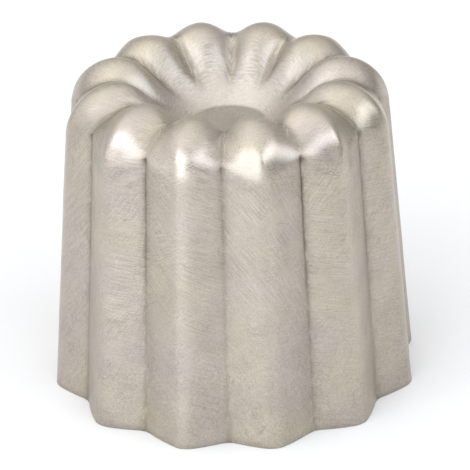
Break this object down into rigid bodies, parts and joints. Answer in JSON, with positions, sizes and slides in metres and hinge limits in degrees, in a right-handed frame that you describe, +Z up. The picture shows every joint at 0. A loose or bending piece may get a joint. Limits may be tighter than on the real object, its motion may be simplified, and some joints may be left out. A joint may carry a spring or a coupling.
{
  "type": "canele mould",
  "caption": "Fluted metal canele mould with tapered walls, rolled-over shoulder lobes and a dished crown, standing on its open rim.",
  "frame": {"origin": "centre of the open rim, in the plane of the rim", "axes": "+Z up the mould's axis from the open rim to the dished crown, with a ridge on +X and on +Y"},
  "size_m": [0.055, 0.055, 0.048],
  "materials": {
    "metal": "hand-brushed satin with fine crossing scratches"
  },
  "bodies": {
    "root": {"mould": "metal"}
  },
  "joints": []
}
